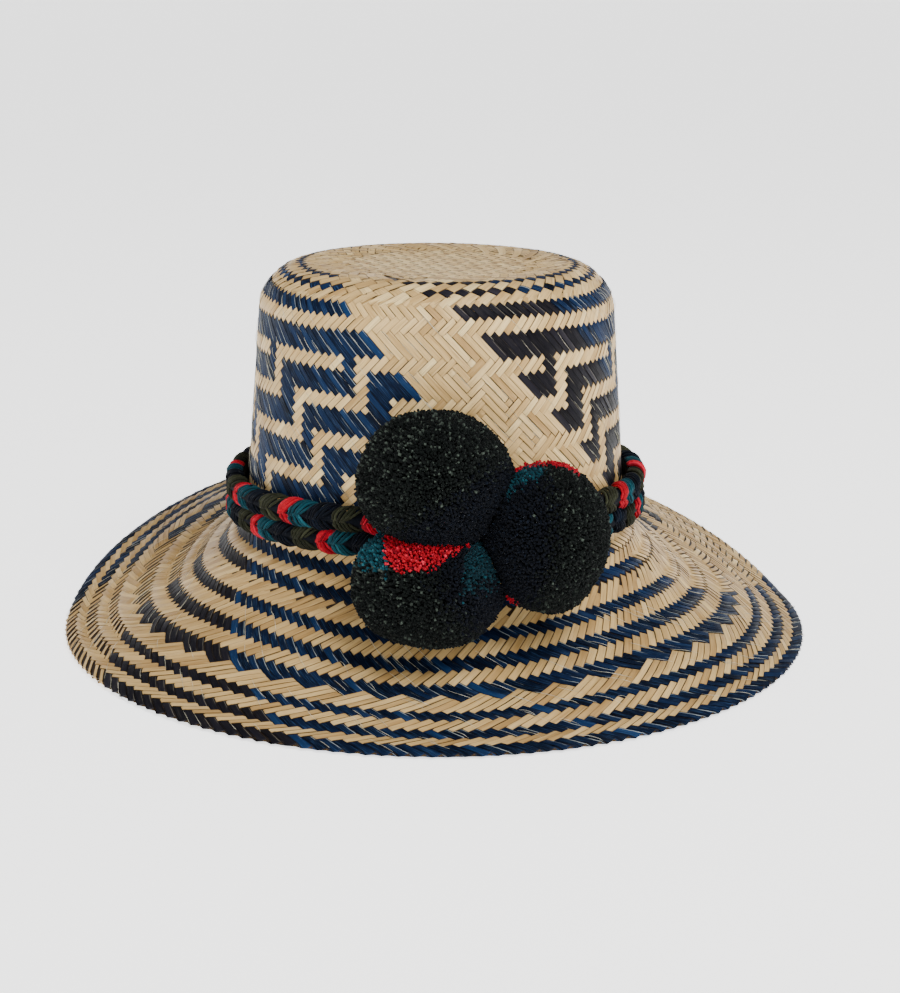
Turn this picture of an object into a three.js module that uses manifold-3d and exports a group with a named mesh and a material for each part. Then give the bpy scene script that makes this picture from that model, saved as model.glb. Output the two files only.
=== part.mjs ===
// A woven straw hat resting on its brim: crown, brim, braided wool band and three pompoms.
// Millimetres, +Z up, the front of the hat towards -Y, the floor at z = 0.
import * as THREE from "three";
import { mergeVertices } from "three/addons/utils/BufferGeometryUtils.js";
import Module from "manifold-3d";

const wasm = await Module();
wasm.setup();

// Driving dimensions
const WALL = 2;
const GAP = 0.3;
const ROUND = 64;

const CROWN = {
  height: 176.1,
  topRadius: 84.5,
  shoulder: 23,
  shoulderSteps: 5,
  dish: 1.6,
  taper: 0.0773,
  foot: 66,
};

const BRIM = {
  radius: 180.8,
  bendTop: 57.5,
  bend: { radius: 128, height: 24 },
  bendPullIn: { drop: 9.5, out: 0.6 },
  bendPullOut: { back: 14, rise: 8.5 },
  bendSteps: 5,
  flareSteps: 3,
  flareSwell: 1,
  backLift: 38,
  backLiftCentre: THREE.MathUtils.degToRad(188),
  backLiftHalfWidth: THREE.MathUtils.degToRad(88),
  backLiftSharpness: 1.35,
  rootRadius: 93,
  liftGrowth: 0.8,
  wave: 2.2,
};

const BAND = {
  height: 68.5,
  rise: 1.5,
  slant: 1.2,
  stitches: 56,
  stitchDepth: 0.12,
};

// Half of the band's section, from its inner edge to the groove: depth out from the crown, height
const BAND_HALF_SECTION = [
  { depth: 0, height: 8, lobe: false },
  { depth: 4.6, height: 10.8, lobe: false },
  { depth: 9.6, height: 7.6, lobe: true },
  { depth: 10.8, height: 3.8, lobe: true },
];
const BAND_GROOVE_DEPTH = 8.6;

const POMPOMS = [
  { name: "pompom_upper", centre: [0.3, -120.5, 101.5], half: [33.3, 31, 29.5], turn: 0.4 },
  { name: "pompom_lower", centre: [-1.3, -126, 56], half: [32.9, 31, 26.5], turn: 1.7 },
  { name: "pompom_right", centre: [47.3, -120.6, 76.3], half: [27.5, 30, 33], turn: 2.9 },
];
const LOCKS = { count: 28, root: 0.66, sides: 5, rootRadius: 0.28, tipRadius: 0.18, headShare: 0.92, envelope: 1.03 };

const STRAW = { color: 0xcdb88f, roughness: 0.55, metalness: 0 };
const WOOL = { color: 0x16323a, roughness: 0.95, metalness: 0 };
const POMPOM_WOOL = { color: 0x1b231d, roughness: 1, metalness: 0 };

// The crown's outer radius at a height, below its shoulder
function crownRadius(z) {
  return CROWN.topRadius + CROWN.taper * (CROWN.height - CROWN.shoulder - z);
}

// One side of the crown's wall, foot to centre of the top; inset is the depth into the wall
function crownLine(inset) {
  const middle = CROWN.topRadius - CROWN.shoulder;
  const shoulderFoot = CROWN.height - CROWN.shoulder;
  const foot = CROWN.foot + GAP;
  const points = [new THREE.Vector2(crownRadius(foot) - inset, foot)];
  for (let i = 0; i <= CROWN.shoulderSteps; i++) {
    const angle = ((i / CROWN.shoulderSteps) * Math.PI) / 2;
    const reach = CROWN.shoulder - inset;
    points.push(new THREE.Vector2(middle + reach * Math.cos(angle), shoulderFoot + reach * Math.sin(angle)));
  }
  points.push(new THREE.Vector2(middle / 2, CROWN.height - inset - 0.75 * CROWN.dish));
  points.push(new THREE.Vector2(0, CROWN.height - inset - CROWN.dish));
  return points;
}

function lathe(profile) {
  return new THREE.LatheGeometry(profile, ROUND).rotateX(Math.PI / 2);
}

function crownGeometry() {
  return lathe([...crownLine(WALL).reverse(), ...crownLine(0)]);
}

// The crown's outer form as a full body, grown by a clearance
function crownSpace(growth) {
  const outside = crownLine(-growth);
  return lathe([new THREE.Vector2(0, outside[0].y), ...outside]);
}

// How far the brim's edge is lifted off the floor at an azimuth, counted from the front towards +X
function backLift(azimuth) {
  const turn = Math.atan2(
    Math.sin(azimuth - BRIM.backLiftCentre),
    Math.cos(azimuth - BRIM.backLiftCentre),
  );
  const share = Math.cos((Math.min(1, Math.abs(turn) / BRIM.backLiftHalfWidth) * Math.PI) / 2);
  return BRIM.backLift * Math.max(0, share) ** BRIM.backLiftSharpness;
}

// The brim's section without lift: a short collar, a bend out of the crown and a flare to the edge
const bendCurve = new THREE.CubicBezierCurve(
  new THREE.Vector2(crownRadius(BRIM.bendTop), BRIM.bendTop),
  new THREE.Vector2(crownRadius(BRIM.bendTop) + BRIM.bendPullIn.out, BRIM.bendTop - BRIM.bendPullIn.drop),
  new THREE.Vector2(BRIM.bend.radius - BRIM.bendPullOut.back, BRIM.bend.height + BRIM.bendPullOut.rise),
  new THREE.Vector2(BRIM.bend.radius, BRIM.bend.height),
);

function brimSection() {
  const points = [new THREE.Vector2(crownRadius(CROWN.foot), CROWN.foot), ...bendCurve.getPoints(BRIM.bendSteps)];
  for (let i = 1; i <= BRIM.flareSteps; i++) {
    const share = i / BRIM.flareSteps;
    const radius = THREE.MathUtils.lerp(BRIM.bend.radius, BRIM.radius, share);
    const height = BRIM.bend.height * (1 - share) + BRIM.flareSwell * 4 * share * (1 - share);
    points.push(new THREE.Vector2(radius, height));
  }
  return points;
}

// The section at one azimuth, with the back's lift and the slow waves of the front and sides
function liftedSection(azimuth) {
  const reach = BRIM.radius - BRIM.rootRadius;
  return brimSection().map((point) => {
    const share = Math.max(0, (point.x - BRIM.rootRadius) / reach);
    const lift = backLift(azimuth) * share ** BRIM.liftGrowth;
    const wave = -BRIM.wave * Math.cos(4 * azimuth) * 4 * share * (1 - share);
    return new THREE.Vector2(point.x, point.y + lift + wave);
  });
}

// The section moved into the wall by a depth, across its own direction
function insetSection(section, depth) {
  return section.map((point, i) => {
    const before = section[Math.max(0, i - 1)];
    const after = section[Math.min(section.length - 1, i + 1)];
    const along = after.clone().sub(before).normalize();
    return new THREE.Vector2(point.x + along.y * depth, point.y - along.x * depth);
  });
}

// A closed ring: a loop of section points at each step round the hat's axis
function ringGeometry(steps, loopAt) {
  const positions = [];
  const indices = [];
  const size = loopAt(0, 0).length;
  for (let i = 0; i < steps; i++) {
    const azimuth = (i / steps) * 2 * Math.PI;
    for (const point of loopAt(azimuth, i)) {
      positions.push(point.x * Math.sin(azimuth), -point.x * Math.cos(azimuth), point.y);
    }
  }
  for (let i = 0; i < steps; i++) {
    for (let j = 0; j < size; j++) {
      const here = i * size;
      const next = ((i + 1) % steps) * size;
      const k = (j + 1) % size;
      indices.push(here + j, here + k, next + k, here + j, next + k, next + j);
    }
  }
  const geometry = new THREE.BufferGeometry();
  geometry.setAttribute("position", new THREE.Float32BufferAttribute(positions, 3));
  geometry.setIndex(indices);
  return geometry;
}

// The wall between two depths; its lower edge is cut level, so the hat rests on a flat ring
function brimGeometry(upperDepth, lowerDepth) {
  return ringGeometry(ROUND, (azimuth) => {
    const section = liftedSection(azimuth);
    const upper = insetSection(section, upperDepth);
    const lower = insetSection(section, lowerDepth);
    const edge = section[section.length - 1];
    for (const line of [upper, lower]) {
      const last = line[line.length - 1];
      const before = line[line.length - 2];
      const slope = (last.x - before.x) / (last.y - before.y);
      last.x += slope * (edge.y - last.y);
      last.y = edge.y;
      line[0].y = section[0].y;
    }
    return [...upper, ...lower.reverse()];
  });
}

// The band rises a little at the front and back and slants up to the right.
// One of its two lobes swells at each step, so that its stitches alternate.
function bandLoop(azimuth, step, growth) {
  const centre = BAND.height + BAND.rise * Math.cos(2 * azimuth) + BAND.slant * Math.sin(azimuth);
  const half = (side, swell) =>
    BAND_HALF_SECTION.map(({ depth, height, lobe }) => {
      const out = depth * (lobe && !swell ? 1 - BAND.stitchDepth : 1);
      const z = centre + side * (height + growth);
      const clear = depth > 0 ? growth : 0;
      return new THREE.Vector2(crownRadius(z) + GAP + out + clear, z);
    });
  const upperSwells = step % 2 === 0;
  const groove = new THREE.Vector2(crownRadius(centre) + GAP + BAND_GROOVE_DEPTH + growth, centre);
  return [...half(1, upperSwells), groove, ...half(-1, !upperSwells).reverse()];
}

function bandGeometry(growth = 0) {
  return ringGeometry(2 * BAND.stitches, (azimuth, step) => bandLoop(azimuth, step, growth));
}

// A closed geometry as a solid that can be joined and cut, and back again
function solidOf(geometry) {
  const plain = geometry.clone();
  plain.deleteAttribute("normal");
  plain.deleteAttribute("uv");
  const merged = mergeVertices(plain, 1e-3);
  return new wasm.Manifold(
    new wasm.Mesh({
      numProp: 3,
      vertProperties: new Float32Array(merged.attributes.position.array),
      triVerts: new Uint32Array(merged.index.array),
    }),
  );
}

// The main body of a cut solid, without the crumbs that the cut leaves
function mainBody(solid) {
  return solid.decompose().reduce((best, body) => (body.volume() > best.volume() ? body : best));
}

function geometryOf(solid) {
  const { vertProperties, triVerts } = solid.getMesh();
  const geometry = new THREE.BufferGeometry();
  geometry.setAttribute("position", new THREE.BufferAttribute(vertProperties, 3));
  geometry.setIndex(new THREE.BufferAttribute(triVerts, 1));
  return geometry;
}

// A pompom of radius 1: a round head with locks of clipped wool standing out of it on a spiral
function unitPompom() {
  const goldenTurn = Math.PI * (3 - Math.sqrt(5));
  const up = new THREE.Vector3(0, 1, 0);
  let solid = solidOf(new THREE.IcosahedronGeometry(LOCKS.headShare, 2));
  for (let i = 0; i < LOCKS.count; i++) {
    const z = 1 - (2 * i + 1) / LOCKS.count;
    const ring = Math.sqrt(1 - z * z);
    const out = new THREE.Vector3(ring * Math.cos(goldenTurn * i), ring * Math.sin(goldenTurn * i), z);
    const length = 1 - LOCKS.root;
    const lock = new THREE.CylinderGeometry(LOCKS.tipRadius, LOCKS.rootRadius, length, LOCKS.sides);
    lock.translate(0, LOCKS.root + length / 2, 0);
    lock.applyQuaternion(new THREE.Quaternion().setFromUnitVectors(up, out));
    solid = solid.add(solidOf(lock));
  }
  return geometryOf(solid);
}

function place(geometry, pompom, growth) {
  const placed = geometry.clone();
  placed.rotateZ(pompom.turn);
  placed.scale(...pompom.half.map((value) => value + growth));
  placed.translate(...pompom.centre);
  return placed;
}

// Each pompom is pressed flat where it meets the crown, brim, band and the pompoms made before it
function pompomGeometries() {
  const shape = unitPompom();
  const envelope = new THREE.IcosahedronGeometry(LOCKS.envelope, 3);
  let taken = solidOf(crownSpace(GAP))
    .add(solidOf(bandGeometry(GAP)))
    .add(solidOf(brimGeometry(-GAP, WALL)));
  return POMPOMS.map((pompom) => {
    const made = mainBody(solidOf(place(shape, pompom, 0)).subtract(taken));
    taken = taken.add(solidOf(place(envelope, pompom, GAP)));
    return geometryOf(made);
  });
}

function piece(name, geometry, finish) {
  const mesh = new THREE.Mesh(geometry, new THREE.MeshStandardMaterial(finish));
  mesh.name = name;
  return mesh;
}

const hat = new THREE.Group();
hat.add(piece("crown", crownGeometry(), STRAW));
hat.add(piece("brim", brimGeometry(0, WALL), STRAW));
hat.add(piece("braided_band", bandGeometry(), WOOL));
pompomGeometries().forEach((geometry, i) => {
  hat.add(piece(POMPOMS[i].name, geometry, POMPOM_WOOL));
});

export default hat;
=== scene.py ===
import math
from types import SimpleNamespace

import bpy
import numpy as np
from mathutils import Matrix, Vector


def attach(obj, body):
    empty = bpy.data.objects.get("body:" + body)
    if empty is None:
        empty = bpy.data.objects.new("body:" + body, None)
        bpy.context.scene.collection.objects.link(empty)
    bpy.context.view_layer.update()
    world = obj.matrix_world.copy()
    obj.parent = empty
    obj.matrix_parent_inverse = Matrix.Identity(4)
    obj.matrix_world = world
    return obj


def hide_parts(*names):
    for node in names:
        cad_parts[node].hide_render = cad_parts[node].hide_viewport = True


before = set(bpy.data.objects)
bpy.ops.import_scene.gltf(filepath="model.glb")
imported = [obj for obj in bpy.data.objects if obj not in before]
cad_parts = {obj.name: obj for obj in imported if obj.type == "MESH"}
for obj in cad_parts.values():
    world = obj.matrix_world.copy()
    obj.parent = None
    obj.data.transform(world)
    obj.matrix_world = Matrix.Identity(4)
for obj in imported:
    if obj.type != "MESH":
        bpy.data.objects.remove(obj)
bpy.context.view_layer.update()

MM = 0.001
TURN = 2 * math.pi
rng = np.random.default_rng(7)


# Camera: solved from the photograph's outline, with a small roll
PHOTO_SIZE = (900, 993)
CAMERA_PLACE = Vector((7.06, -866.8, 302.5)) * MM
CAMERA_AIM = Vector((7.06, 0, 60.28)) * MM
CAMERA_FOCAL_PIXELS = 1838.24
CAMERA_ROLL = math.radians(0.5)
SENSOR = 36


def add_camera():
    look = CAMERA_AIM - CAMERA_PLACE
    turn = look.to_track_quat("-Z", "Y").to_matrix().to_4x4()
    bpy.ops.object.camera_add(location=CAMERA_PLACE)
    camera = bpy.context.object
    camera.matrix_world = Matrix.Translation(CAMERA_PLACE) @ turn @ Matrix.Rotation(CAMERA_ROLL, 4, "Z")
    camera.data.sensor_width = SENSOR
    camera.data.lens = CAMERA_FOCAL_PIXELS / max(PHOTO_SIZE) * SENSOR
    bpy.context.scene.camera = camera


add_camera()


# Colours and nodes
def colour(hex_value):
    """An sRGB hex colour as linear RGBA."""
    channels = [int(hex_value[i:i + 2], 16) / 255 for i in (1, 3, 5)]
    return [c / 12.92 if c <= 0.04045 else ((c + 0.055) / 1.055) ** 2.4 for c in channels] + [1]


def add_node(tree, kind, settings=None, inputs=None):
    """A node of one kind with its settings, and its inputs as values or as links from other sockets."""
    node = tree.nodes.new(kind)
    for key, value in (settings or {}).items():
        setattr(node, key, value)
    for key, value in (inputs or {}).items():
        socket = node.inputs[key]
        if isinstance(value, bpy.types.NodeSocket):
            tree.links.new(value, socket)
        else:
            socket.default_value = value
    return node


def calculate(tree, operation, *values):
    """The result of a math node."""
    node = add_node(tree, "ShaderNodeMath", {"operation": operation}, dict(enumerate(values)))
    return node.outputs["Value"]


def slope(tree, value, start, end):
    """How far a value is on its way from start to end, kept from 0 to 1."""
    node = add_node(tree, "ShaderNodeMapRange", inputs={"Value": value, "From Min": start, "From Max": end})
    return node.outputs["Result"]


def distance_from(tree, value, place):
    return calculate(tree, "ABSOLUTE", calculate(tree, "SUBTRACT", value, place))


def read_attribute(tree, name):
    return add_node(tree, "ShaderNodeAttribute", {"attribute_name": name}).outputs["Fac"]


def noise(tree, place, scale, detail=2):
    node = add_node(tree, "ShaderNodeTexNoise", inputs={"Vector": place, "Scale": scale, "Detail": detail})
    return node.outputs["Fac"]


def ramp(tree, factor, stops):
    """A colour ramp from (place, hex) stops."""
    node = add_node(tree, "ShaderNodeValToRGB", inputs={"Fac": factor})
    elements = node.color_ramp.elements
    while len(elements) < len(stops):
        elements.new(0.5)
    for element, (place, hex_value) in zip(elements, stops):
        element.position = place
        element.color = colour(hex_value)
    return node.outputs["Color"]


def blend(tree, factor, base, over):
    """The base colour with a second one, (hex, amount), laid over it by a factor."""
    hex_value, amount = over
    share = calculate(tree, "MULTIPLY", factor, amount)
    mix = add_node(tree, "ShaderNodeMix", {"data_type": "RGBA"}, {0: share, 6: base, 7: colour(hex_value)})
    return mix.outputs[2]


def new_material(name):
    """A new material with its node tree and its shader."""
    material = bpy.data.materials.new(name)
    material.use_nodes = True
    tree = material.node_tree
    tree.nodes.clear()
    shader = add_node(tree, "ShaderNodeBsdfPrincipled")
    add_node(tree, "ShaderNodeOutputMaterial", inputs={"Surface": shader.outputs["BSDF"]})
    return material, tree, shader


def set_surface(tree, shader, base, specular, roughness):
    tree.links.new(base, shader.inputs["Base Color"])
    shader.inputs["Specular IOR Level"].default_value = specular
    shader.inputs["Roughness"].default_value = roughness


BUMP_DEPTH = 0.0003


def add_bump(tree, shader, height, strength):
    inputs = {"Strength": strength, "Distance": BUMP_DEPTH, "Height": height}
    bump = add_node(tree, "ShaderNodeBump", inputs=inputs)
    tree.links.new(bump.outputs["Normal"], shader.inputs["Normal"])


# Palm straw: split leaf strips, glossy skin with fibres along the strip, natural or dyed.
# The UV map runs along each strip in metres (U) and across it (V), so the fibres follow the strip.
# noises as (stretch, scale, detail)
PATCHES = ((60, 2, 0), 1.0, 3)
STRANDS = ((80, 7, 0), 1.6, 2)
PATCH_TONES = 0.8
STRAW_BUMP = 0.4
# where each mark starts and is full, in noise, in distance across the strip or in how hidden it is
STREAK_NOISE = (0.54, 0.68)
# painted shade at a strip's rims, from this distance off its middle, for the shadow lines between strips
STRIP_MIDDLE = 0.5
RIM_SHADE_DISTANCE = (0.42, 0.5)
FRAY_PLACE = 0.14
FRAY_DISTANCE = (0.05, 0.02)
FRAY_NOISE = (0.52, 0.58)
# painted shade under other strips, by how hidden a strip is
HIDDEN_SHADE_RANGE = (0.45, 0.85)


def strip_noise(tree, uv, shade, stretch, scale, detail):
    """Noise drawn out along the strips, and different on each of them."""
    shift = add_node(tree, "ShaderNodeCombineXYZ", inputs={"Z": shade})
    place = add_node(tree, "ShaderNodeVectorMath", {"operation": "MULTIPLY_ADD"},
                     {0: uv, 1: stretch, 2: shift.outputs["Vector"]})
    return noise(tree, place.outputs["Vector"], scale, detail)


def straw_material(name, skin, streak, rim_shade, fray, hidden_shade, gloss):
    """A strip's skin with marks laid over it.

    Skin is a ramp of tones; streak, the painted rim shade, fray and the painted shade under other strips are
    (hex, amount); gloss is (specular, roughness).
    """
    material, tree, shader = new_material(name)
    uv = add_node(tree, "ShaderNodeUVMap", {"uv_map": "strip"}).outputs["UV"]
    across = add_node(tree, "ShaderNodeSeparateXYZ", inputs={"Vector": uv}).outputs["Y"]
    shade = read_attribute(tree, "strip_shade")
    patches = strip_noise(tree, uv, shade, *PATCHES)
    strands = strip_noise(tree, uv, shade, *STRANDS)
    change = calculate(tree, "MULTIPLY_ADD", patches, PATCH_TONES, -PATCH_TONES / 2)
    base = ramp(tree, calculate(tree, "ADD", calculate(tree, "FRACT", shade), change), skin)
    base = blend(tree, slope(tree, strands, *STREAK_NOISE), base, streak)
    # painted shade: the rims are darkened, for the shadow lines between neighbouring strips
    edge = slope(tree, distance_from(tree, across, STRIP_MIDDLE), *RIM_SHADE_DISTANCE)
    base = blend(tree, calculate(tree, "MULTIPLY", edge, read_attribute(tree, "strip_rim_shade")), base, rim_shade)
    near = slope(tree, distance_from(tree, across, FRAY_PLACE), *FRAY_DISTANCE)
    base = blend(tree, calculate(tree, "MULTIPLY", near, slope(tree, patches, *FRAY_NOISE)), base, fray)
    # painted shade: where a strip lies under others it is darkened, as if in their shadow
    hidden = slope(tree, read_attribute(tree, "strip_under"), *HIDDEN_SHADE_RANGE)
    set_surface(tree, shader, blend(tree, hidden, base, hidden_shade), *gloss)
    add_bump(tree, shader, strands, STRAW_BUMP)
    return material


# each straw: skin, streak, painted rim shade, fray, painted shade under other strips, gloss
STRAWS = [
    straw_material(
        "palm_straw_natural",
        [(0.0, "#a07e4c"), (0.35, "#bc9b64"), (0.7, "#d1b17a"), (1.0, "#e2c890")],
        ("#86663a", 0.45), ("#3a2410", 0.6), ("#f0e0b8", 0.2), ("#2c1c0d", 0.9), (0.2, 0.46)),
    straw_material(
        "palm_straw_dyed_black",
        [(0.0, "#0a090d"), (0.4, "#131218"), (0.8, "#1e1c23"), (1.0, "#2c2930")],
        ("#332f2c", 0.4), ("#020203", 0.6), ("#8c8471", 0.45), ("#060505", 0.8), (0.05, 0.46)),
    straw_material(
        "palm_straw_dyed_blue",
        [(0.0, "#050914"), (0.35, "#091122"), (0.7, "#0f203c"), (1.0, "#142e50")],
        ("#2f4a6d", 0.5), ("#020308", 0.6), ("#b0b7b0", 0.72), ("#04060c", 0.8), (0.04, 0.46)),
]
NATURAL, BLACK, BLUE = 0, 1, 2

LOOSE_STRAW_SCALE = 400
LOOSE_STRAW_GLOSS = (0.3, 0.55)


def fibre_material(name, dark, light):
    """Straw in tones that change from place to place: loose fibre, and the dark painted shade between the
    plait's layers.
    """
    material, tree, shader = new_material(name)
    place = add_node(tree, "ShaderNodeTexCoord").outputs["Object"]
    tones = ramp(tree, noise(tree, place, LOOSE_STRAW_SCALE), [(0.35, dark), (0.65, light)])
    set_surface(tree, shader, tones, *LOOSE_STRAW_GLOSS)
    return material


# Painted shade: dark straw for the sheets that stand for the shade between the plait's two layers; and pale
# fibres that came loose from the strips
STRAW_SHADED = fibre_material("palm_straw_shaded", "#150d06", "#2a1b0e")
STRAW_FIBRE = fibre_material("palm_fibre_pale", "#98947f", "#d6d2bd")


# Joined meshes from arrays
def mesh_object(name, points, faces, materials, face_material=None):
    mesh = bpy.data.meshes.new(name)
    mesh.from_pydata(np.asarray(points, float) * MM, [], faces)
    for material in materials:
        mesh.materials.append(material)
    if face_material is not None:
        mesh.polygons.foreach_set("material_index", np.asarray(face_material, np.int32))
    mesh.polygons.foreach_set("use_smooth", np.full(len(mesh.polygons), True))
    made = bpy.data.objects.new(name, mesh)
    bpy.context.scene.collection.objects.link(made)
    mesh.update()
    return made


def set_attribute(made, key, values):
    layer = made.data.attributes.new(key, "FLOAT", "POINT")
    layer.data.foreach_set("value", values)


def ring_faces(rings, sides, closed=False):
    """Quads between the rings of a tube, and from its last ring to its first if it is closed."""
    i, j = np.meshgrid(np.arange(rings if closed else rings - 1), np.arange(sides), indexing="ij")
    here, there, beside = i * sides, (i + 1) % rings * sides, (j + 1) % sides
    return np.stack([here + j, there + j, there + beside, here + beside], -1).reshape(-1, 4)


STRIP_THICKNESS = 0.22
RAILS = 4
RAIL_SIDES = (0.0, 1.0, 1.0, 0.0)
SMOOTH_ANGLE = math.radians(40)
# a strip's shade is a whole number, which gives it noise of its own, and a tone from 0 to 1
NOISE_PLACES = 50
TONE_SPREAD = 0.2
TONE_LIMITS = (0.05, 0.95)


def strip(spot, line, dye, rim_shade=1.0, tone=0.5):
    """One strip: its four rails (left and right edge, then the same below), its dye, for each row how
    hidden it is and how dark its painted rim shade is, and its mean tone."""
    lower = line[:, ::-1].copy()
    lower[..., 2] -= STRIP_THICKNESS
    rails = np.concatenate([spot(line), spot(lower)], axis=1)
    return rails, dye, line[:, 0, 3], np.full(len(rails), rim_shade), tone


def strips_object(name, strips):
    """All strips joined in one mesh of closed flat bands."""
    points, faces, uvs, shades, hidden, rim_shades, face_material = [], [], [], [], [], [], []
    start = 0
    for rails, dye, under, rim_shade, mean in strips:
        corners = len(rails) * RAILS
        ends = np.array([[0, 1, 2, 3], [3, 2, 1, 0]]) + np.array([[0], [corners - RAILS]])
        quads = np.concatenate([ring_faces(len(rails), RAILS), ends])
        points.append(rails.reshape(-1, 3))
        faces.append(quads + start)
        face_material.append(np.full(len(quads), dye))
        step = np.linalg.norm(np.diff(rails[:, 0], axis=0), axis=1)
        along = np.concatenate([[0], np.cumsum(step)]) * MM
        u, v = np.meshgrid(along, RAIL_SIDES, indexing="ij")
        uvs.append(np.stack([u, v], -1).reshape(-1, 2)[quads.ravel()])
        shade = rng.integers(0, NOISE_PLACES) + float(np.clip(rng.normal(mean, TONE_SPREAD), *TONE_LIMITS))
        shades.append(np.full(corners, shade))
        hidden.append(np.repeat(under, RAILS))
        rim_shades.append(np.repeat(rim_shade, RAILS))
        start += corners
    made = mesh_object(name, np.concatenate(points), np.concatenate(faces).tolist(), STRAWS,
                       np.concatenate(face_material))
    layer = made.data.uv_layers.new(name="strip")
    layer.data.foreach_set("uv", np.concatenate(uvs).ravel())
    for key, values in (("strip_shade", shades), ("strip_under", hidden), ("strip_rim_shade", rim_shades)):
        set_attribute(made, key, np.concatenate(values))
    bpy.ops.object.select_all(action="DESELECT")
    made.select_set(True)
    bpy.context.view_layer.objects.active = made
    bpy.ops.object.shade_smooth_by_angle(angle=SMOOTH_ANGLE)
    return made


def around_angle(angle):
    """The angle brought between minus half a turn and half a turn."""
    return np.arctan2(np.sin(angle), np.cos(angle))


# Crown surface: arc length from the centre of the top along the outside
CROWN_HEIGHT = 176.1
CROWN_TOP_RADIUS = 84.5
CROWN_SHOULDER = 23
CROWN_DISH = 1.6
CROWN_TAPER = 0.0773
CROWN_FOOT = 66
FLAT_RADIUS = CROWN_TOP_RADIUS - CROWN_SHOULDER
SHOULDER_FOOT_ARC = FLAT_RADIUS + CROWN_SHOULDER * math.pi / 2
SHOULDER_FOOT_HEIGHT = CROWN_HEIGHT - CROWN_SHOULDER
STRAW_DEPTH = 0.55


def crown_radius(z):
    return CROWN_TOP_RADIUS + CROWN_TAPER * (SHOULDER_FOOT_HEIGHT - z)


def crown_length(z):
    """The arc length from the top's centre down to a height on the wall."""
    return SHOULDER_FOOT_ARC + (SHOULDER_FOOT_HEIGHT - z) / math.cos(math.atan(CROWN_TAPER))


def crown_point(azimuth, arc, height):
    """A point over the crown by its azimuth in radians from the front towards +X, its arc and its height
    above the surface."""
    arc = np.asarray(arc, float)
    dish = CROWN_DISH * (1 - np.clip(arc / FLAT_RADIUS, 0, 1) ** 2)
    angle = np.clip((arc - FLAT_RADIUS) / CROWN_SHOULDER, 0, math.pi / 2)
    drop = np.maximum(0, arc - SHOULDER_FOOT_ARC) * math.cos(math.atan(CROWN_TAPER))
    radius = np.minimum(arc, FLAT_RADIUS) + CROWN_SHOULDER * np.sin(angle) + CROWN_TAPER * drop
    z = SHOULDER_FOOT_HEIGHT + CROWN_SHOULDER * np.cos(angle) - dish - drop
    out = height - STRAW_DEPTH
    radius = radius + out * np.sin(angle)
    z = z + out * np.cos(angle)
    return np.stack([radius * np.sin(azimuth), -radius * np.cos(azimuth), z], -1)


# Brim surface: arc length from the crown's foot, down the collar and out to the edge
BRIM_RADIUS = 180.8
BRIM_BEND = [(crown_radius(57.5), 57.5), (crown_radius(57.5) + 0.6, 48), (114, 32.5), (128, 24)]
BRIM_FLARE_SWELL = 1
BRIM_ROOT = 93
BRIM_WAVE = 2.2
BRIM_WAVE_COUNT = 4
BACK_LIFT = 38
BACK_LIFT_CENTRE = math.radians(188)
BACK_LIFT_HALF_WIDTH = math.radians(88)
BACK_LIFT_SHARPNESS = 1.35
LIFT_GROWTH = 0.8
EDGE_FOLD = 0.7
# the folded edge is thicker than the brim, which rests on it
EDGE_LIFT = 2.5
EDGE_LIFT_REACH = 16
SECTION_POINTS = 40
NORMAL_STEP = 0.5


def brim_section():
    """(radius, height) of the brim's upper side, from the crown's foot to the edge."""
    share = np.linspace(0, 1, SECTION_POINTS)[:, None]
    rest = 1 - share
    p0, p1, p2, p3 = np.array(BRIM_BEND, float)
    bend = rest ** 3 * p0 + 3 * share * rest ** 2 * p1 + 3 * share ** 2 * rest * p2 + share ** 3 * p3
    out = np.linspace(0, 1, SECTION_POINTS)[1:]
    bend_radius, bend_height = BRIM_BEND[-1]
    flare = np.stack([
        bend_radius + (BRIM_RADIUS - bend_radius) * out,
        bend_height * (1 - out) + BRIM_FLARE_SWELL * 4 * out * (1 - out),
    ], -1)
    return np.concatenate([[[crown_radius(CROWN_FOOT), CROWN_FOOT]], bend, flare])


SECTION = brim_section()
SECTION_ARC = np.concatenate([[0], np.cumsum(np.linalg.norm(np.diff(SECTION, axis=0), axis=1))])
BRIM_ARC = SECTION_ARC[-1]


def brim_lift(azimuth, radius):
    """The brim's rise over its section: at the back, in slow waves and at the folded edge."""
    turn = around_angle(azimuth - BACK_LIFT_CENTRE)
    share = np.cos(np.minimum(1, np.abs(turn) / BACK_LIFT_HALF_WIDTH) * math.pi / 2)
    lift = BACK_LIFT * np.maximum(0, share) ** BACK_LIFT_SHARPNESS
    reach = np.clip((radius - BRIM_ROOT) / (BRIM_RADIUS - BRIM_ROOT), 0, 1)
    wave = BRIM_WAVE * np.cos(BRIM_WAVE_COUNT * azimuth) * 4 * reach * (1 - reach)
    edge = np.clip(1 - (BRIM_RADIUS - radius) / EDGE_LIFT_REACH, 0, 1)
    rise = EDGE_LIFT * edge ** 2 * (3 - 2 * edge)
    return lift * reach ** LIFT_GROWTH - wave + rise


def brim_line(azimuth, arc):
    radius = np.interp(arc, SECTION_ARC, SECTION[:, 0])
    z = np.interp(arc, SECTION_ARC, SECTION[:, 1])
    return radius, z + brim_lift(azimuth, radius)


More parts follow.
